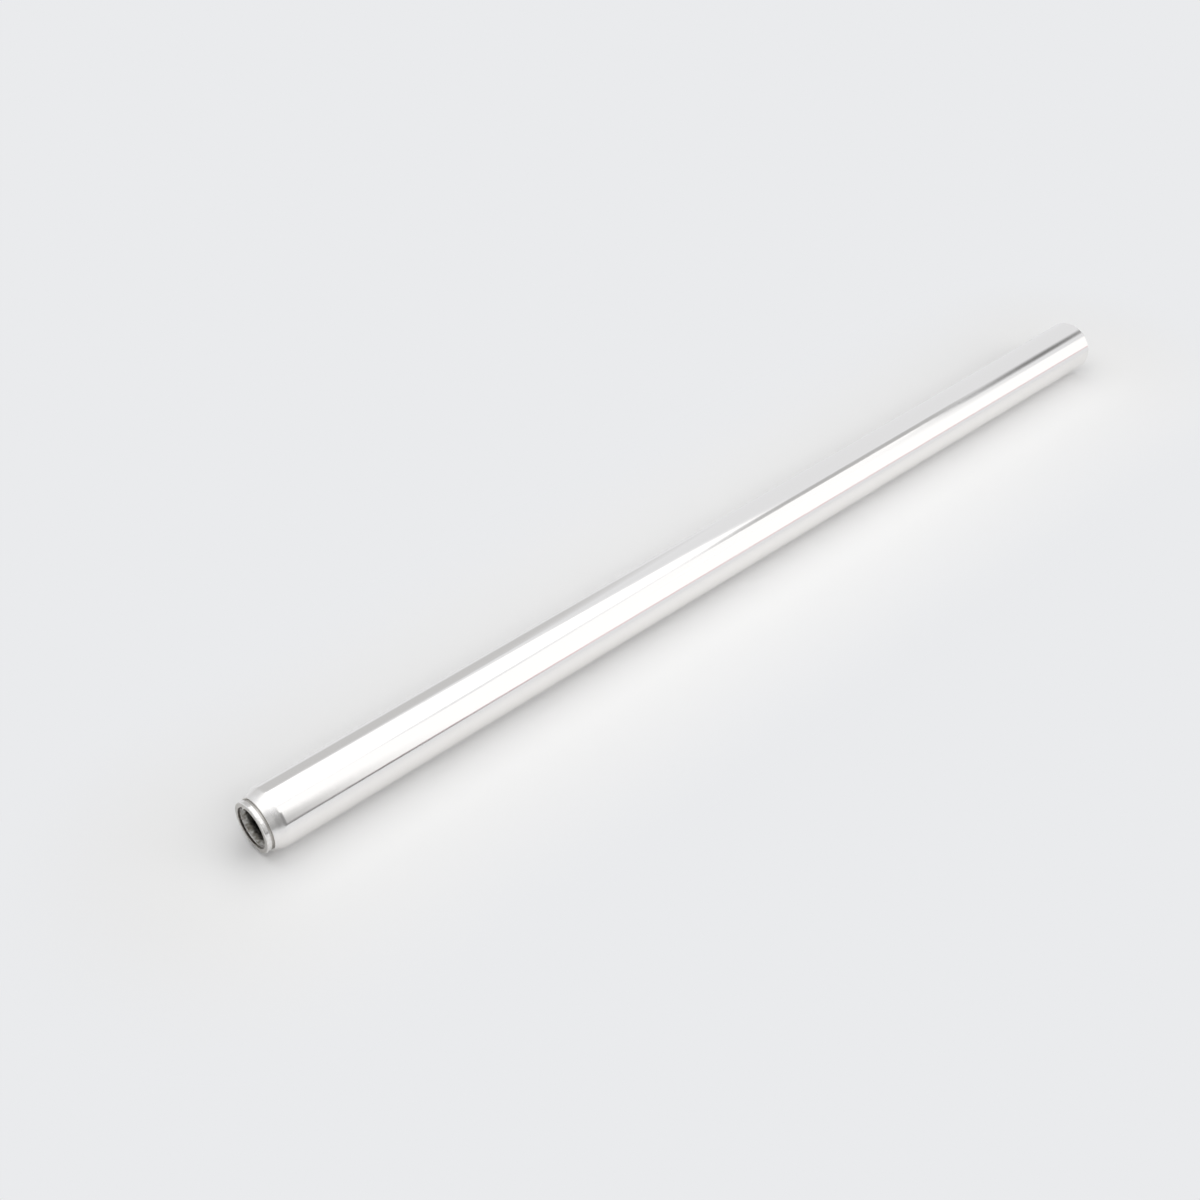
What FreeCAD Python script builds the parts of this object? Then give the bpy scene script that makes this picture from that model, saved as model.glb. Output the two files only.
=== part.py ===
import FreeCAD, Part
import os
import Sketcher

# A hard-chromed steel fork tube of a light motorcycle, in millimetres.
# The tube lies on its side along X: the necked lower end points to -X, the plain upper end to +X.
# The origin is on the ground, under the middle of the tube.

# Driving sizes
SIZES = {
    # Straight tube
    "tube_length": 620.0,
    "tube_diameter": 31.0,
    "wall_thickness": 3.0,
    # Swaged neck at the lower end: the taper, the clip groove behind the collar, and the collar
    "taper_length": 6.4,
    "taper_drop": 2.0,
    "shoulder_rounding": 6.0,
    "collar_drop": 2.5,
    "collar_length": 2.3,
    "collar_rounding": 0.6,
    "clip_groove_width": 1.3,
    "clip_groove_depth": 1.0,
    # Inside of the neck: the recess in its face, the guide bore and the funnel to the main bore
    "neck_wall": 3.8,
    "recess_step": 1.1,
    "recess_depth": 1.2,
    "recess_bevel": 0.3,
    "guide_bore_length": 3.8,
    "funnel_length": 7.5,
    "funnel_rounding": 4.0,
    # Seat of the fork cap in the plain upper end, bored to the thread's inner diameter
    "cap_seat_length": 18.0,
    "cap_seat_step": 0.2,
    "cap_lead_in": 1.0,
    "end_chamfer": 0.6,
    # How far round from the top the seam of the turned surfaces lies, in degrees
    "seam_turn": 45.0,
}

# Distances along the tube from the collar's face
TUBE_END = "Sizes.tube_length"
TAPER_START = "(Sizes.collar_length + Sizes.clip_groove_width)"
TAPER_END = "(" + TAPER_START + " + Sizes.taper_length)"
GUIDE_BORE_END = "(Sizes.recess_depth + Sizes.guide_bore_length)"
FUNNEL_END = "(" + GUIDE_BORE_END + " + Sizes.funnel_length)"
CAP_SEAT_START = "(Sizes.tube_length - Sizes.cap_seat_length)"

# Radii about the tube's axis
OUTER_RADIUS = "(Sizes.tube_diameter / 2)"
COLLAR_RADIUS = "(" + OUTER_RADIUS + " - Sizes.collar_drop)"
CLIP_GROOVE_RADIUS = "(" + COLLAR_RADIUS + " - Sizes.clip_groove_depth)"
TAPER_START_RADIUS = "(" + OUTER_RADIUS + " - Sizes.taper_drop)"
GUIDE_BORE_RADIUS = "(" + COLLAR_RADIUS + " - Sizes.neck_wall)"
RECESS_RADIUS = "(" + GUIDE_BORE_RADIUS + " + Sizes.recess_step)"
MAIN_BORE_RADIUS = "(" + OUTER_RADIUS + " - Sizes.wall_thickness)"
CAP_SEAT_RADIUS = "(" + MAIN_BORE_RADIUS + " + Sizes.cap_seat_step)"


def make_sheet(doc):
    """Keep every driving size in one sheet, each cell with its own name."""
    sheet = doc.addObject("Spreadsheet::Sheet", "Sizes")
    for row, (name, value) in enumerate(SIZES.items(), start=1):
        sheet.set(f"A{row}", name)
        sheet.set(f"B{row}", str(value))
        sheet.setAlias(f"B{row}", name)
    doc.recompute()
    return sheet


def value_of(obj, formula):
    """The number that a formula of named sizes stands for."""
    return float(obj.evalExpression(formula))


def draw_section(body, name, corners, roundings=()):
    """A closed half section beside the tube's axis, with each corner held by named sizes."""
    sketch = body.newObject("Sketcher::SketchObject", name)
    plane = next(f for f in body.Origin.OriginFeatures if f.Role == "XZ_Plane")
    sketch.AttachmentSupport = [(plane, "")]
    sketch.MapMode = "FlatFace"
    points = [FreeCAD.Vector(value_of(sketch, along), value_of(sketch, radius), 0) for along, radius in corners]
    for start, end in zip(points, points[1:] + points[:1]):
        sketch.addGeometry(Part.LineSegment(start, end), False)
    for line in range(len(points)):
        sketch.addConstraint(Sketcher.Constraint("Coincident", line, 2, (line + 1) % len(points), 1))
    for line, (point, formulas) in enumerate(zip(points, corners)):
        hold_corner(sketch, line, point, formulas)
    for corner, size in roundings:
        round_corner(sketch, corners.index(corner), size)
    return sketch


def hold_corner(sketch, line, point, formulas):
    """Tie the first corner of one line to its distance along the axis and its radius."""
    along, radius = formulas
    if along == "0":
        sketch.addConstraint(Sketcher.Constraint("PointOnObject", line, 1, -2))
    else:
        bind(sketch, Sketcher.Constraint("DistanceX", -1, 1, line, 1, point.x), f"along_{line}", along)
    if radius == "0":
        sketch.addConstraint(Sketcher.Constraint("PointOnObject", line, 1, -1))
    else:
        bind(sketch, Sketcher.Constraint("DistanceY", -1, 1, line, 1, point.y), f"radius_{line}", radius)


def round_corner(sketch, line, size):
    """Put a tangent arc of the named radius at the first corner of one line."""
    radius = value_of(sketch, f"Sizes.{size}")
    trim = True
    keep_corner = True
    sketch.fillet(line, 1, radius, trim, keep_corner)
    arc = max(number for number, curve in enumerate(sketch.Geometry) if isinstance(curve, Part.ArcOfCircle))
    bind(sketch, Sketcher.Constraint("Radius", arc, radius), size, f"Sizes.{size}")


def bind(sketch, constraint, name, formula):
    """Add one measured constraint and let the named sizes drive it."""
    index = sketch.addConstraint(constraint)
    sketch.renameConstraint(index, name)
    sketch.setExpression(f"Constraints.{name}", formula)


def spin(body, kind, name, sketch):
    """Turn a half section once around the tube's axis, as solid or as a cut."""
    feature = body.newObject(kind, name)
    feature.Profile = sketch
    feature.ReferenceAxis = (sketch, ["H_Axis"])
    feature.Angle = 360.0
    body.Document.recompute()
    return feature


def cut(body, name, sketch):
    """Turn a cut around the axis, and make sure that it takes material away."""
    before = body.Shape.Volume
    groove = spin(body, "PartDesign::Groove", name, sketch)
    if not body.Shape.Volume < before:
        raise RuntimeError(f"{name} cuts nothing")
    return groove


def rim(shape, along, radius):
    """The circular edge of the given radius at the given distance along the axis."""
    for number, edge in enumerate(shape.Edges, start=1):
        circle = edge.Curve
        if not isinstance(circle, Part.Circle):
            continue
        if abs(circle.Radius - radius) < 1e-4 and abs(circle.Center.x - along) < 1e-4:
            return f"Edge{number}"
    raise RuntimeError(f"no edge of radius {radius} at {along}")


def dress(body, kind, name, size, along, radius):
    """Round or bevel one rim of the solid so far."""
    base = body.Tip
    feature = body.newObject(kind, name)
    feature.Base = (base, [rim(base.Shape, value_of(base, along), value_of(base, radius))])
    feature.setExpression("Radius" if kind == "PartDesign::Fillet" else "Size", f"Sizes.{size}")
    body.Document.recompute()
    return feature


def turn_outside(body):
    """The outside: collar, taper and straight tube, with the clip groove between collar and taper."""
    outline = draw_section(body, "outline", [
        ("0", "0"),
        ("0", COLLAR_RADIUS),
        (TAPER_START, COLLAR_RADIUS),
        (TAPER_START, TAPER_START_RADIUS),
        (TAPER_END, OUTER_RADIUS),
        (TUBE_END, OUTER_RADIUS),
        (TUBE_END, "0"),
    ], [((TAPER_END, OUTER_RADIUS), "shoulder_rounding")])
    spin(body, "PartDesign::Revolution", "bar", outline)
    clip_section = draw_section(body, "clip_section", [
        ("Sizes.collar_length", CLIP_GROOVE_RADIUS),
        ("Sizes.collar_length", OUTER_RADIUS),
        (TAPER_START, OUTER_RADIUS),
        (TAPER_START, CLIP_GROOVE_RADIUS),
    ])
    cut(body, "clip_groove", clip_section)


def bore_inside(body):
    """The inside: face recess, guide bore, funnel, main bore and the seat of the fork cap."""
    hollow = draw_section(body, "hollow", [
        ("0", "0"),
        ("0", RECESS_RADIUS),
        ("Sizes.recess_depth", RECESS_RADIUS),
        ("Sizes.recess_depth", GUIDE_BORE_RADIUS),
        (GUIDE_BORE_END, GUIDE_BORE_RADIUS),
        (FUNNEL_END, MAIN_BORE_RADIUS),
        (CAP_SEAT_START, MAIN_BORE_RADIUS),
        (CAP_SEAT_START, CAP_SEAT_RADIUS),
        (TUBE_END, CAP_SEAT_RADIUS),
        (TUBE_END, "0"),
    ], [((FUNNEL_END, MAIN_BORE_RADIUS), "funnel_rounding")])
    cut(body, "through_bore", hollow)


def finish_edges(body):
    """The rounded collar and the bevels at both ends."""
    dress(body, "PartDesign::Fillet", "collar_edge", "collar_rounding", "0", COLLAR_RADIUS)
    dress(body, "PartDesign::Chamfer", "recess_edge", "recess_bevel", "0", RECESS_RADIUS)
    dress(body, "PartDesign::Chamfer", "cap_mouth", "cap_lead_in", TUBE_END, CAP_SEAT_RADIUS)
    dress(body, "PartDesign::Chamfer", "plain_end", "end_chamfer", TUBE_END, OUTER_RADIUS)


def make_fork_tube(doc):
    """The whole tube as one solid, laid on the ground."""
    body = doc.addObject("PartDesign::Body", "fork_tube")
    body.Label = "fork_tube"
    turn_outside(body)
    bore_inside(body)
    finish_edges(body)
    body.Placement.Rotation.Axis = FreeCAD.Vector(1, 0, 0)
    body.setExpression("Placement.Rotation.Angle", "Sizes.seam_turn")
    body.setExpression("Placement.Base.x", "-Sizes.tube_length / 2")
    body.setExpression("Placement.Base.z", "Sizes.tube_diameter / 2")
    doc.recompute()
    return body


def check(doc, pieces):
    """Stop if any feature failed or any piece isn't one sound solid."""
    for obj in doc.Objects:
        if "Invalid" in obj.State or "Error" in obj.State:
            raise RuntimeError(f"{obj.Label} failed: {obj.State}")
    for piece in pieces:
        if piece.Shape.isNull() or not piece.Shape.isValid() or len(piece.Shape.Solids) != 1:
            raise RuntimeError(f"{piece.Label} isn't one sound solid")


def main():
    doc = FreeCAD.newDocument("motorcycle_fork_tube")
    make_sheet(doc)
    pieces = [make_fork_tube(doc)]
    check(doc, pieces)
    os.makedirs("parts", exist_ok=True)
    for piece in pieces:
        piece.Shape.exportStep(f"parts/{piece.Label}.step")
        box = piece.Shape.optimalBoundingBox()
        print(f"{piece.Label}: {box.XLength:.2f} x {box.YLength:.2f} x {box.ZLength:.2f} mm,"
              f" {piece.Shape.Volume:.0f} cubic mm")


main()
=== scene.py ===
import math

import bpy
from mathutils import Matrix, Vector


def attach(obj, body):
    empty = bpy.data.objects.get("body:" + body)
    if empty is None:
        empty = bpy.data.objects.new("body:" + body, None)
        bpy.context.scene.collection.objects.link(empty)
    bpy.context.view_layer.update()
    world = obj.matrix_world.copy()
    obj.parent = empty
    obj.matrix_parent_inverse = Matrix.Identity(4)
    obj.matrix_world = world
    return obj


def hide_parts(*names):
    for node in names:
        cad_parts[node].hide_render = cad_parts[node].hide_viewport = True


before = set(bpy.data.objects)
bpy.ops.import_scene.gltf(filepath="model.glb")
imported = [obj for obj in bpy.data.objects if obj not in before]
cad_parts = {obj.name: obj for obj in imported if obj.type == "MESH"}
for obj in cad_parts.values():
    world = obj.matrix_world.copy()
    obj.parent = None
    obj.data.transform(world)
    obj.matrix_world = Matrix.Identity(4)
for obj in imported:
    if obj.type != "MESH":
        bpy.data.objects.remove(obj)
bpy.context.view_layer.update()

MM = 0.001

# The tube in millimetres: radii, and distances along its axis from the collar's face
LENGTH = 620.0
OUTER = 15.5
COLLAR, COLLAR_END, COLLAR_ROUNDING = 13.0, 2.3, 0.6
CLIP_GROOVE = 12.0
TAPER_START, TAPER_START_RADIUS = 3.6, 13.5
TAPER_CROWN, TAPER_CROWN_RADIUS, CROWN_ROUNDING = 6.4, 14.5, 20.0
TAPER_END, SHOULDER_ROUNDING = 10.0, 6.0
RECESS, RECESS_DEPTH, RECESS_BEVEL = 10.3, 1.2, 0.3
GUIDE_BORE, GUIDE_BORE_END = 9.2, 5.0
BORE, FUNNEL_END, FUNNEL_ROUNDING = 12.5, 12.5, 4.0
SEAT, SEAT_START, LEAD_IN = 12.7, 602.0, 1.0
THREAD_START, THREAD_PITCH, THREAD_DEPTH = 603.0, 1.5, 0.8
END_CHAMFER = 0.6
EDGE_BREAK = 0.12

# How much steeper the thread's flanks are than a plain zigzag, which leaves a flat at root and crest
FLANK_SLOPE = 1.5

# The finish in millimetres: how far the neck's haze fades out, how near to an end the face's darker bare grey
# with painted shade begins, the pitch of the turning marks, and how deep the pale painted light reaches into a
# mouth and how far its edge wanders
HAZE_FADE = 1.0
FACE_MARGIN = 0.02
RING_PITCH = 0.14
PALE_LIMIT, PALE_FULL, PALE_WANDER = 4.2, 2.6, 0.8

# Roughness that the neck has over the straight tube
NECK_HAZE = 0.16

# The mesh: columns around the axis, the step of a rounded corner, steps of a thread's pitch, the longest
# straight run in millimetres, and the steps of a metre in which points count as one
AROUND = 288
ARC_STEP = math.radians(9)
THREAD_STEPS = 12
LONGEST_RUN = 12.0
WELD_STEPS = 1e7
TINY = 1e-6

# The tube's materials by number; the fourth is the recess wall's painted shade
CHROME, STEEL, BORE_STEEL, RECESS_SHADE, GROOVE = range(5)


def from_middle(along):
    """The X in metres of a distance along the tube in millimetres."""
    return (along - LENGTH / 2) * MM


def short_of_end(distance):
    """The X in metres that is so many millimetres short of the plain end."""
    return (LENGTH / 2 - distance) * MM


def add_object(name, data):
    """An object of the scene with the given mesh, lamp or camera."""
    made = bpy.data.objects.new(name, data)
    bpy.context.collection.objects.link(made)
    return made


# The tube's section: corners with their rounding, then the runs of the turned outline

def outline(corners):
    """Round the corners (along, radius, rounding, material of the run that follows) of a closed section.

    Gives the outline as runs (point, normal, point, normal, material), each normal in the section's plane."""
    count = len(corners)
    arcs = []
    for number, (along, radius, rounding, _) in enumerate(corners):
        here = Vector((along, radius))
        before = Vector(corners[number - 1][:2]) - here
        after = Vector(corners[(number + 1) % count][:2]) - here
        arcs.append(rounded(here, before.normalized(), after.normalized(), rounding))
    runs = []
    for number, points in enumerate(arcs):
        following = arcs[(number + 1) % count]
        incoming = outward(arcs[number - 1][-1], points[0])
        outgoing = outward(points[-1], following[0])
        swing = math.atan2(incoming.x * outgoing.y - incoming.y * outgoing.x, incoming.dot(outgoing))
        steps = len(points) - 1
        for step in range(steps):
            runs.append((points[step], turned(incoming, swing * step / steps),
                         points[step + 1], turned(incoming, swing * (step + 1) / steps),
                         corners[number - 1][3]))
        runs.append((points[-1], outgoing, following[0], outgoing, corners[number][3]))
    return runs


def rounded(corner, before, after, rounding):
    """The points of a rounded corner, from the directions of the corners before and after it."""
    turn = math.pi - before.angle(after)
    if rounding == 0 or turn < TINY:
        return [corner]
    reach = rounding * math.tan(turn / 2)
    middle = corner + (before + after).normalized() * (rounding / math.cos(turn / 2))
    first = corner + before * reach - middle
    last = corner + after * reach - middle
    steps = max(2, math.ceil(turn / ARC_STEP))
    swing = math.copysign(turn, first.x * last.y - first.y * last.x)
    return [middle + turned(first, swing * step / steps) for step in range(steps + 1)]


def turned(vector, angle):
    """A vector of the section's plane turned by an angle."""
    sine, cosine = math.sin(angle), math.cos(angle)
    return Vector((vector.x * cosine - vector.y * sine, vector.x * sine + vector.y * cosine))


def outward(start, end):
    """The normal on the left of a run, which is the outside of the section."""
    run = (end - start).normalized()
    return Vector((-run.y, run.x))


def split_long(runs):
    """Divide the runs that are longer than the longest run."""
    divided = []
    for start, start_normal, end, end_normal, material in runs:
        pieces = max(1, math.ceil((end - start).length / LONGEST_RUN))
        for piece in range(pieces):
            divided.append((start.lerp(end, piece / pieces), start_normal,
                            start.lerp(end, (piece + 1) / pieces), end_normal, material))
    return divided


def thread_point(row, column):
    """A point of the cap seat's inner thread, which runs out towards its start and ends in the lead-in."""
    along = THREAD_START + THREAD_PITCH * (row / THREAD_STEPS + column / AROUND - 1)
    along = min(max(along, THREAD_START), LENGTH)
    zigzag = 1 - 2 * abs((row % THREAD_STEPS) / THREAD_STEPS - 0.5)
    flank = min(max(zigzag * FLANK_SLOPE - (FLANK_SLOPE - 1) / 2, 0), 1)
    runout = min((along - THREAD_START) / THREAD_PITCH, 1)
    lead_in = SEAT + max(along - (LENGTH - LEAD_IN), 0)
    return Vector((along, max(SEAT + THREAD_DEPTH * flank * runout, lead_in)))


class Turning:
    """A mesh around the tube's axis, with exact normals and shared points."""

    def __init__(self):
        self.points = []
        self.index = {}
        self.faces = []
        self.normals = []
        self.materials = []

    def point(self, along, radius, column):
        """The number of the point at a place, which is made where there is none yet."""
        angle = 2 * math.pi * column / AROUND
        place = (from_middle(along), radius * MM * math.cos(angle), (OUTER + radius * math.sin(angle)) * MM)
        key = tuple(round(value * WELD_STEPS) for value in place)
        if key not in self.index:
            self.index[key] = len(self.points)
            self.points.append(place)
        return self.index[key]

    def quad(self, corners, normals, material):
        """One face from four (point of the section, column), with a normal of the section's plane at each."""
        face, directions = [], []
        for (place, column), normal in zip(corners, normals):
            number = self.point(place.x, place.y, column % AROUND)
            if number in face:
                continue
            angle = 2 * math.pi * column / AROUND
            face.append(number)
            directions.append((normal.x, normal.y * math.cos(angle), normal.y * math.sin(angle)))
        if len(face) > 2:
            self.faces.append(face)
            self.normals.extend(directions)
            self.materials.append(material)

    def band(self, start, start_normal, end, end_normal, material):
        """One turned run of the section."""
        for column in range(AROUND):
            self.quad([(start, column), (start, column + 1), (end, column + 1), (end, column)],
                      [start_normal, start_normal, end_normal, end_normal], material)

    def thread(self):
        """The fine inner thread of the cap seat, cut outward from the seat."""
        turns = math.ceil((LENGTH - THREAD_START) / THREAD_PITCH) + 2
        for row in range(turns * THREAD_STEPS):
            for column in range(AROUND):
                near, far = thread_point(row, column), thread_point(row + 1, column)
                next_near, next_far = thread_point(row, column + 1), thread_point(row + 1, column + 1)
                run, next_run = far - near, next_far - next_near
                if run.length < TINY and next_run.length < TINY:
                    continue
                slope = run if run.length > TINY else next_run
                normal = Vector((slope.y, -slope.x)).normalized()
                self.quad([(near, column), (far, column), (next_far, column + 1), (next_near, column + 1)],
                          [normal] * 4, STEEL)

    def build(self, name, materials):
        """The object with everything that was turned."""
        mesh = bpy.data.meshes.new(name)
        mesh.from_pydata(self.points, [], self.faces)
        for material in materials:
            mesh.materials.append(material)
        mesh.polygons.foreach_set("material_index", self.materials)
        mesh.shade_smooth()
        mesh.normals_split_custom_set(self.normals)
        mesh.update()
        return add_object(name, mesh)


# Materials

class Nodes:
    """A node tree with short calls for adding and linking nodes."""

    def __init__(self, tree):
        self.tree = tree
        tree.nodes.clear()

    def add(self, kind, settings=None, **inputs):
        """A node with its settings, and its inputs by name, with _ for a space, or by number as i0 and i1."""
        made = self.tree.nodes.new(kind)
        for name, value in (settings or {}).items():
            setattr(made, name, value)
        for name, value in inputs.items():
            self.put(made, name.replace("_", " "), value)
        return made

    def put(self, made, name, value):
        """Feed the input of a node that has the given name or number."""
        numbered = name[0] == "i" and name[1:].isdigit()
        self.feed(made.inputs[int(name[1:]) if numbered else name], value)

    def feed(self, socket, value):
        """Give an input a constant or the output of another node."""
        if isinstance(value, bpy.types.NodeSocket):
            self.tree.links.new(value, socket)
        else:
            socket.default_value = value

    def place(self):
        """The place on the object, in metres."""
        return self.add("ShaderNodeTexCoord").outputs["Object"]

    def split(self, vector):
        """The X, Y and Z of a vector."""
        return self.add("ShaderNodeSeparateXYZ", Vector=vector).outputs

    def math(self, operation, first, second=0.0, third=0.0):
        """The result of one operation on up to three values."""
        return self.add("ShaderNodeMath", {"operation": operation}, i0=first, i1=second, i2=third).outputs[0]

    def distance(self, first, second):
        """The distance that two lengths at a right angle make."""
        squares = [self.math("MULTIPLY", side, side) for side in (first, second)]
        return self.math("SQRT", self.math("ADD", *squares))

    def remap(self, value, source, target, smooth=False):
        """A value carried over from one range to another, and held at its ends."""
        kind = {"interpolation_type": "SMOOTHSTEP" if smooth else "LINEAR"}
        return self.add("ShaderNodeMapRange", kind, Value=value, From_Min=source[0], From_Max=source[1],
                        To_Min=target[0], To_Max=target[1]).outputs[0]

    def blend(self, share, first, second):
        """A colour between two others, each a constant or an output."""
        made = self.add("ShaderNodeMix", {"data_type": "RGBA"}, i0=share)
        colors = {socket.name: socket for socket in made.inputs if socket.type == "RGBA"}
        self.feed(colors["A"], first)
        self.feed(colors["B"], second)
        return next(socket for socket in made.outputs if socket.type == "RGBA")

    def noise(self, place, finer, scale, detail=2.0, roughness=0.5):
        """Noise on the object, made finer along each axis by a factor."""
        scaled = self.add("ShaderNodeVectorMath", {"operation": "MULTIPLY"}, i0=place, i1=finer).outputs[0]
        return self.add("ShaderNodeTexNoise", Vector=scaled, Scale=scale, Detail=detail,
                        Roughness=roughness).outputs["Fac"]

    def bump(self, strength, depth, height, **inputs):
        """The normal over a height that stands for a depth in millimetres."""
        return self.add("ShaderNodeBump", Strength=strength, Distance=depth * MM, Height=height,
                        **inputs).outputs[0]


def new_material(name):
    """A material and its empty node tree."""
    material = bpy.data.materials.new(name)
    material.use_nodes = True
    return material, Nodes(material.node_tree)


def metal(name, **inputs):
    """A bare metal, with its node tree, its shader and the place on the object."""
    material, nodes = new_material(name)
    shader = nodes.add("ShaderNodeBsdfPrincipled", Metallic=1.0, **inputs)
    nodes.add("ShaderNodeOutputMaterial", Surface=shader.outputs[0])
    return material, nodes, shader, nodes.place()


def hard_chrome():
    """Polished hard chrome: nearly a mirror, with faint marks around the tube, and hazier on the neck."""
    material, nodes, shader, place = metal("hard_chrome", Base_Color=(0.9, 0.887, 0.874, 1), Anisotropic=0.5)
    around = nodes.add("ShaderNodeTangent", {"direction_type": "RADIAL", "axis": "X"}).outputs[0]
    nodes.put(shader, "Tangent", around)
    haze = nodes.remap(nodes.split(place)["X"], (from_middle(TAPER_END), from_middle(TAPER_END - HAZE_FADE)),
                       (0, NECK_HAZE))
    clouds = nodes.noise(place, (1, 2, 2), 40, 4)
    streaks = nodes.noise(place, (60, 1, 1), 30, 3)
    mixed = nodes.math("MULTIPLY_ADD", clouds, 0.6, nodes.math("MULTIPLY", streaks, 0.4))
    polish = nodes.remap(mixed, (0.35, 0.65), (0.06, 0.13))
    nodes.put(shader, "Roughness", nodes.math("ADD", polish, haze))
    grinding = nodes.noise(place, (100, 1, 1), 40, 3)
    fine = nodes.bump(nodes.remap(haze, (0, NECK_HAZE), (0.05, 0.5)), 0.02, grinding)
    waves = nodes.noise(place, (1.5, 3, 3), 60, 3)
    nodes.put(shader, "Normal", nodes.bump(0.12, 0.2, waves, Normal=fine))
    return material


def turned_steel():
    """Turned steel with fine rings: plated on the neck and the bevels; on the end faces bare steel, painted
    darker as shade.
    """
    material, nodes, shader, place = metal("turned_steel")
    blotches = nodes.noise(place, (1, 1, 1), 900, 4, 0.6)
    nodes.put(shader, "Roughness", nodes.remap(blotches, (0.3, 0.7), (0.1, 0.2)))
    parts = nodes.split(place)
    # The end faces turn a darker grey: bare steel with painted shade
    face = nodes.remap(nodes.math("ABSOLUTE", parts["X"]),
                       (short_of_end(EDGE_BREAK), short_of_end(FACE_MARGIN)), (0, 1))
    spots = nodes.remap(blotches, (0.45, 0.8), (0, 1))
    plated = nodes.blend(spots, (0.88, 0.87, 0.855, 1), (0.7, 0.68, 0.65, 1))
    bare = nodes.blend(spots, (0.55, 0.535, 0.51, 1), (0.34, 0.32, 0.29, 1))
    nodes.put(shader, "Base Color", nodes.blend(face, plated, bare))
    radius = nodes.distance(parts["Y"], nodes.math("SUBTRACT", parts["Z"], OUTER * MM))
    spread = nodes.math("ADD", radius, parts["X"])
    rings = nodes.math("SINE", nodes.math("MULTIPLY", spread, 2 * math.pi / (RING_PITCH * MM)))
    fine = nodes.bump(0.25, 0.01, nodes.noise(place, (1, 1, 1), 1500, 2))
    nodes.put(shader, "Normal", nodes.bump(0.25, 0.005, rings, Normal=fine))
    return material


def bore_steel():
    """Bare steel inside the tube, mottled: pale and less metallic just inside the mouths as painted light, dark
    further in as painted shade.
    """
    material, nodes, shader, place = metal("bore_steel")
    blotches = nodes.noise(place, (0.7, 1, 1), 380, 5, 0.65)
    nodes.put(shader, "Roughness", nodes.remap(blotches, (0.3, 0.7), (0.3, 0.55)))
    wander = nodes.remap(nodes.noise(place, (1, 1, 1), 260, 2), (0.3, 0.7),
                         (-PALE_WANDER * MM, PALE_WANDER * MM))
    along = nodes.math("ADD", nodes.math("ABSOLUTE", nodes.split(place)["X"]), wander)
    # Painted light and shade: pale just inside the mouths, dark further in
    mouth_light = nodes.remap(along, (short_of_end(PALE_LIMIT), short_of_end(PALE_FULL)), (0, 1), smooth=True)
    spots = nodes.remap(blotches, (0.44, 0.58), (0, 1))
    pale = nodes.blend(spots, (0.98, 0.97, 0.94, 1), (0.4, 0.37, 0.32, 1))
    dark = nodes.blend(spots, (0.36, 0.34, 0.31, 1), (0.1, 0.09, 0.08, 1))
    nodes.put(shader, "Base Color", nodes.blend(mouth_light, dark, pale))
    nodes.put(shader, "Metallic", nodes.remap(mouth_light, (0, 1), (0.9, 0.1)))
    nodes.put(shader, "Normal", nodes.bump(0.6, 0.05, nodes.noise(place, (0.5, 1, 1), 900, 3)))
    return material


def shaded_steel(name, painted_shade, bare):
    """Steel for a hollow, coloured with painted shade: mostly the darker colour, mottled with patches of the
    lighter one.
    """
    material, nodes, shader, place = metal(name)
    mottling = nodes.noise(place, (1, 1, 1), 500, 4, 0.6)
    nodes.put(shader, "Roughness", nodes.remap(mottling, (0.3, 0.7), (0.3, 0.5)))
    # Painted shade: the darker colour covers most of the surface, with lighter mottled patches
    nodes.put(shader, "Base Color", nodes.blend(nodes.remap(mottling, (0.5, 0.72), (0, 1)), painted_shade, bare))
    return material


def make_tube():
    """The whole tube as one turned mesh, with the thread in its plain end."""
    corners = [
        (0, RECESS + RECESS_BEVEL, EDGE_BREAK, STEEL),
        (0, COLLAR, COLLAR_ROUNDING, STEEL),
        (COLLAR_END, COLLAR, EDGE_BREAK, GROOVE),
        (COLLAR_END, CLIP_GROOVE, EDGE_BREAK, GROOVE),
        (TAPER_START, CLIP_GROOVE, EDGE_BREAK, GROOVE),
        (TAPER_START, COLLAR, 0, STEEL),
        (TAPER_START, TAPER_START_RADIUS, EDGE_BREAK, CHROME),
        (TAPER_CROWN, TAPER_CROWN_RADIUS, CROWN_ROUNDING, CHROME),
        (TAPER_END, OUTER, SHOULDER_ROUNDING, CHROME),
        (LENGTH - END_CHAMFER, OUTER, EDGE_BREAK, STEEL),
        (LENGTH, OUTER - END_CHAMFER, EDGE_BREAK, STEEL),
        (LENGTH, SEAT + LEAD_IN, 0, None),
        (THREAD_START, SEAT, 0, STEEL),
        (SEAT_START, SEAT, EDGE_BREAK / 2, BORE_STEEL),
        (SEAT_START, BORE, EDGE_BREAK / 2, BORE_STEEL),
        (FUNNEL_END, BORE, FUNNEL_ROUNDING, BORE_STEEL),
        (GUIDE_BORE_END, GUIDE_BORE, EDGE_BREAK, BORE_STEEL),
        (RECESS_DEPTH, GUIDE_BORE, EDGE_BREAK, STEEL),
        # The recess wall and its bevel take painted shade
        (RECESS_DEPTH, RECESS, EDGE_BREAK, RECESS_SHADE),
        (RECESS_BEVEL, RECESS, EDGE_BREAK, RECESS_SHADE),
    ]
    turning = Turning()
    for *run, material in split_long(outline(corners)):
        if material is not None:
            turning.band(*run, material)
    turning.thread()
    # Painted shade in the hollows: very dark on the recess wall and its bevel, a lighter grey in the clip
    # groove
    recess = shaded_steel("recess_steel", (0.1, 0.09, 0.08, 1), (0.4, 0.37, 0.33, 1))
    groove = shaded_steel("groove_steel", (0.62, 0.605, 0.58, 1), (0.8, 0.785, 0.76, 1))
    return turning.build("chromed_tube", [hard_chrome(), turned_steel(), bore_steel(), recess, groove])


# Studio in metres: pale surroundings, a floor, cards that are only mirrored and lamps that never are

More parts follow.
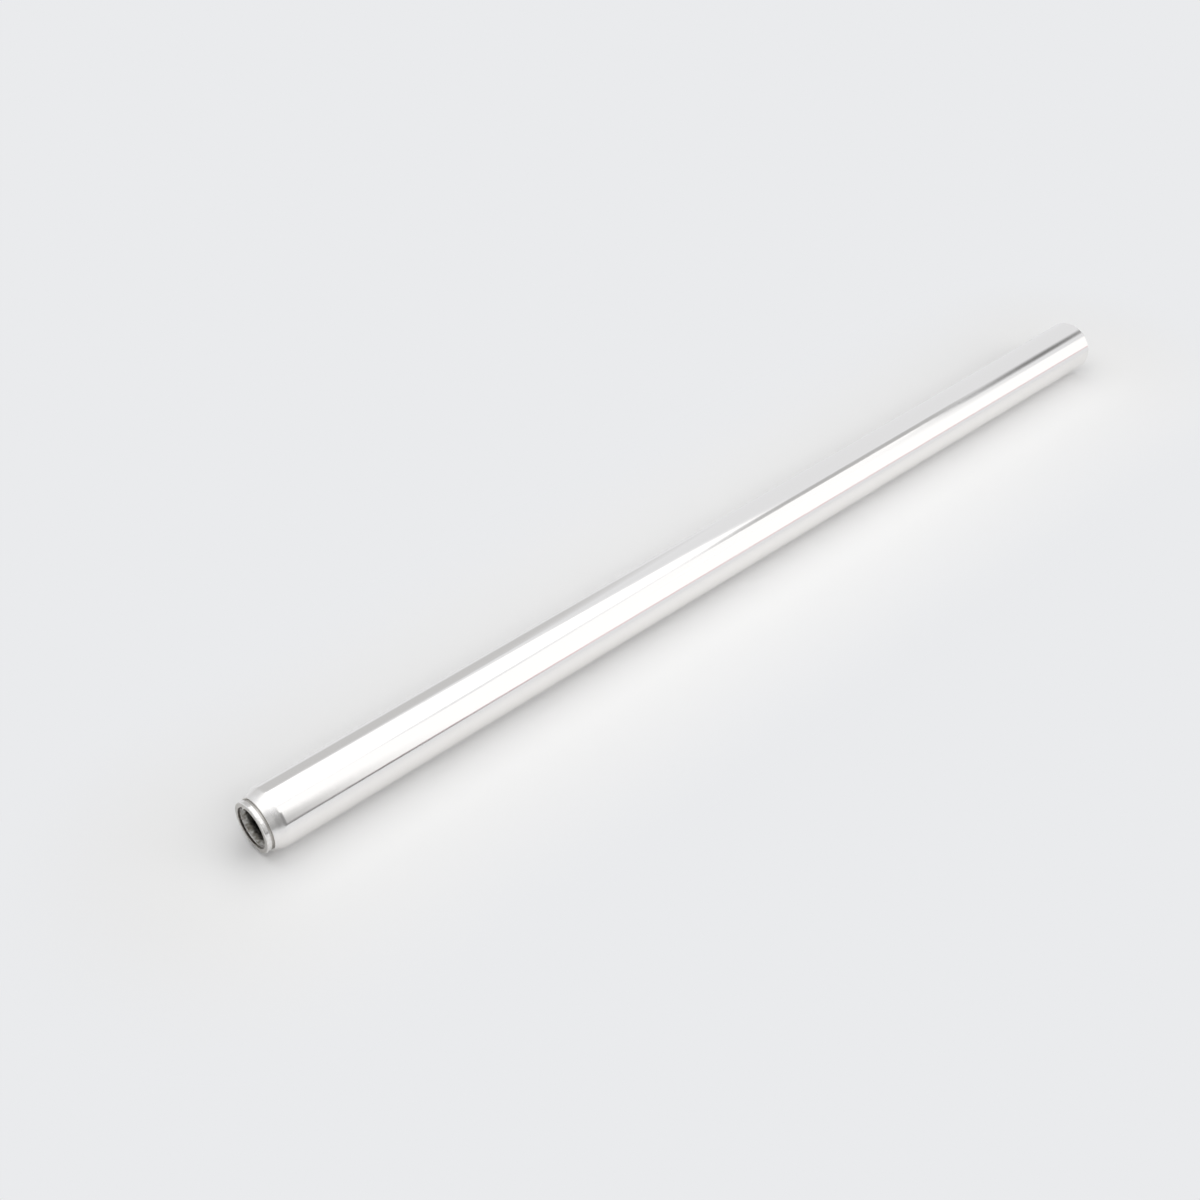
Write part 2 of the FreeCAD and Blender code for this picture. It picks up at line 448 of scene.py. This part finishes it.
def linear(level):
    """The linear value of a display level from 0 to 255."""
    value = level / 255
    return value / 12.92 if value <= 0.04045 else ((value + 0.055) / 1.055) ** 2.4


SURROUNDINGS = (linear(234), linear(235), linear(237), 1)
FILL = 0.2
PAPER = (0.87, 0.868, 0.864, 1)
HALF_FLOOR = 12.0
PAPER_REACH, PLAIN_FROM = 0.03, 0.12
TOP, FRONT, BACK = 1.0, -1.0, 1.0
OVAL_CORNERS = 32


def seen_or_mirrored(nodes):
    """1 for what is seen or mirrored, 0 for what only lights."""
    path = nodes.add("ShaderNodeLightPath").outputs
    mirrored = nodes.math("ADD", path["Is Glossy Ray"], path["Is Transmission Ray"])
    return nodes.math("MINIMUM", nodes.math("ADD", path["Is Camera Ray"], mirrored), 1.0)


def light_world():
    """Pale all round where it is seen or mirrored, and a weaker fill where it only lights."""
    world = bpy.data.worlds.new("surroundings")
    bpy.context.scene.world = world
    world.use_nodes = True
    nodes = Nodes(world.node_tree)
    strength = nodes.remap(seen_or_mirrored(nodes), (0, 1), (FILL, 1.0))
    background = nodes.add("ShaderNodeBackground", Color=SURROUNDINGS, Strength=strength)
    nodes.add("ShaderNodeOutputWorld", Surface=background.outputs[0])


def make_floor():
    """Paper that takes the tube's shadow, and gives way to the plain surroundings further off."""
    mesh = bpy.data.meshes.new("floor")
    corners = [(-HALF_FLOOR, -HALF_FLOOR, 0), (HALF_FLOOR, -HALF_FLOOR, 0),
               (HALF_FLOOR, HALF_FLOOR, 0), (-HALF_FLOOR, HALF_FLOOR, 0)]
    mesh.from_pydata(corners, [], [(0, 1, 2, 3)])
    material, nodes = new_material("floor_paper")
    paper = nodes.add("ShaderNodeBsdfDiffuse", Color=PAPER).outputs[0]
    plain = nodes.add("ShaderNodeEmission", Color=SURROUNDINGS, Strength=1.0).outputs[0]
    parts = nodes.split(nodes.place())
    past_end = nodes.math("SUBTRACT", nodes.math("ABSOLUTE", parts["X"]), short_of_end(0))
    distance = nodes.distance(nodes.math("MAXIMUM", past_end, 0.0), parts["Y"])
    far = nodes.remap(distance, (PAPER_REACH, PLAIN_FROM), (0, 1), smooth=True)
    away = nodes.math("MULTIPLY", far, seen_or_mirrored(nodes))
    surface = nodes.add("ShaderNodeMixShader", i0=away, i1=paper, i2=plain).outputs[0]
    nodes.add("ShaderNodeOutputMaterial", Surface=surface)
    mesh.materials.append(material)
    add_object("floor", mesh)


def lying(height):
    """The points (x, y) of a level plane."""
    return lambda x, y: Vector((x, y, height))


def standing(depth):
    """The points (x, z) of an upright plane."""
    return lambda x, z: Vector((x, depth, z))


def oval(middle, across, along):
    """Corners of an oval card from its middle and its two half axes."""
    turns = [2 * math.pi * step / OVAL_CORNERS for step in range(OVAL_CORNERS)]
    return [Vector(middle) + Vector(across) * math.cos(turn) + Vector(along) * math.sin(turn) for turn in turns]


def card(name, plane, corners, feather, level, heart=None, color=(1, 1, 1, 1)):
    """A flat card with soft edges, seen only where a surface mirrors it.

    Feather is the soft share of the way from each corner to the heart, which is the middle unless given."""
    points = [plane(*corner) for corner in corners]
    middle = sum(points, Vector()) / len(points) if heart is None else plane(*heart)
    inner = [point.lerp(middle, feather) for point in points]
    count = len(points)
    sides = [(number, (number + 1) % count) for number in range(count)]
    rim = [(here, after, count + after, count + here) for here, after in sides]
    mesh = bpy.data.meshes.new(name)
    mesh.from_pydata(points + inner, [], rim + [tuple(range(count, 2 * count))])
    glow = mesh.attributes.new("glow", "FLOAT", "POINT")
    glow.data.foreach_set("value", [0.0] * count + [1.0] * count)
    material, nodes = new_material(name)
    edge = nodes.add("ShaderNodeAttribute", {"attribute_name": "glow"}).outputs["Fac"]
    share = nodes.remap(edge, (0, 1), (0, 1), smooth=True)
    clear = nodes.add("ShaderNodeBsdfTransparent").outputs[0]
    lit = nodes.add("ShaderNodeEmission", Color=color, Strength=level).outputs[0]
    mixed = nodes.add("ShaderNodeMixShader", i0=share, i1=clear, i2=lit)
    nodes.add("ShaderNodeOutputMaterial", Surface=mixed.outputs[0])
    mesh.materials.append(material)
    made = add_object(name, mesh)
    made.visible_camera = made.visible_diffuse = made.visible_shadow = False


def make_cards():
    """What the chrome mirrors: the faces of the soft boxes and the few dark things between them.

    A card that covers another lies a little nearer to the tube."""
    card("soft_box_above", lying(TOP),
         [(-0.65, 0.95), (0.1, 1.02), (0.48, 0.72), (0.73, 0.4), (0.83, 0.05), (0.68, -0.19), (0.40, -0.34),
          (-0.2, -0.62), (-0.9, -0.2)], feather=0.14, level=1.25)
    card("soft_box_front_top", lying(TOP),
         [(-0.5, -0.4), (0.1, -0.36), (0.3, -0.42), (0.5, -0.27), (0.66, -0.13), (1.0, -0.08), (1.25, -0.2),
          (1.3, -1.5), (-0.5, -1.5)], feather=0.17, level=1.13, heart=(0.3, -0.95))
    card("soft_box_far_top", lying(TOP - 0.005),
         [(0.8, -0.25), (1.22, -0.2), (1.7, -0.6), (2.7, -1.5), (2.7, -2.0), (0.8, -1.9)],
         feather=0.6, level=1.13, heart=(1.2, -1.25))
    card("soft_box_front", standing(FRONT),
         [(-0.1, -0.02), (1.6, 0.0), (1.85, 0.6), (2.5, 1.25), (-0.1, 1.25)], feather=0.06, level=1.13)
    card("soft_box_left", standing(FRONT + 0.02),
         [(-1.6, 0.0), (0.15, 0.0), (0.15, 1.3), (-1.6, 1.3)], feather=0.18, level=0.95)
    card("dark_gap", lying(TOP - 0.01),
         [(0.62, -0.26), (1.25, -0.30), (1.25, 0.06), (0.66, 0.04)], feather=0.5, level=0.5)
    card("dark_boom", lying(TOP - 0.02),
         oval((1.38, -0.21), (0.3, -0.08), (0.08, 0.3)), feather=0.9, level=0.24)
    card("dark_left", standing(FRONT + 0.03),
         oval((-0.42, 0.0), (0.7, 0.0), (0.0, 2.2)), feather=0.72, level=0.27, heart=(-0.36, 0.0))
    card("dark_top_left", lying(TOP - 0.03),
         oval((-0.85, -0.95), (0.55, 0.0), (0.0, 0.8)), feather=0.9, level=0.45)
    card("dark_strip", standing(-0.3),
         oval((-0.18, 0.012), (0.24, 0.0), (0.0, 0.028)), feather=0.8, level=0.22)
    card("red_edge", standing(FRONT + 0.02),
         [(-0.1, -0.02), (2.8, -0.02), (2.8, 0.06), (-0.1, 0.06)],
         feather=0.25, level=1.0, color=(0.84, 0.58, 0.6, 1))
    card("grey_back_left", standing(BACK),
         [(-0.62, -0.9), (0.75, -0.9), (0.75, 1.05), (-0.62, 1.2)], feather=0.6, level=0.61, heart=(0.2, 0.75))


def lamp(name, place, turn, size, radiance):
    """A soft box: an even rectangular lamp, turned about X from facing down, that lights but isn't mirrored."""
    data = bpy.data.lights.new(name, "AREA")
    data.shape = "RECTANGLE"
    data.size, data.size_y = size
    data.energy = math.pi * size[0] * size[1] * radiance
    made = add_object(name, data)
    made.location = place
    made.rotation_euler = (turn, 0, 0)
    made.visible_glossy = made.visible_camera = False


def make_lamps():
    """The light on the floor, from above and from the front."""
    lamp("lamp_above", place=(-0.1, 0.3, TOP), turn=0.0, size=(1.6, 1.3), radiance=1.37)
    lamp("lamp_front_top", place=(0.2, -0.75, TOP), turn=0.0, size=(2.1, 0.9), radiance=1.15)
    lamp("lamp_front", place=(0.25, FRONT, 0.58), turn=math.radians(90), size=(2.0, 1.1), radiance=1.15)


def make_camera():
    """The camera of the photograph, solved from the tube's outlines."""
    place = Vector((-0.52999, -0.45679, 0.56415))
    azimuth, downward, roll = 0.81509, 0.70459, 0.02161
    ahead = Vector((math.cos(downward) * math.cos(azimuth), math.cos(downward) * math.sin(azimuth),
                    -math.sin(downward)))
    level = Vector((math.sin(azimuth), -math.cos(azimuth), 0))
    upright = level.cross(ahead)
    right = level * math.cos(roll) + upright * math.sin(roll)
    up = upright * math.cos(roll) - level * math.sin(roll)
    data = bpy.data.cameras.new("camera")
    data.sensor_width = 36
    data.lens = 48.7485
    data.clip_start = 0.01
    camera = add_object("camera", data)
    camera.matrix_world = Matrix.Translation(place) @ Matrix((right, up, -ahead)).transposed().to_4x4()
    bpy.context.scene.camera = camera


bpy.context.scene.view_settings.view_transform = "Standard"
tube = make_tube()
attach(tube, "root")
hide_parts("fork_tube")
light_world()
make_floor()
make_cards()
make_lamps()
make_camera()
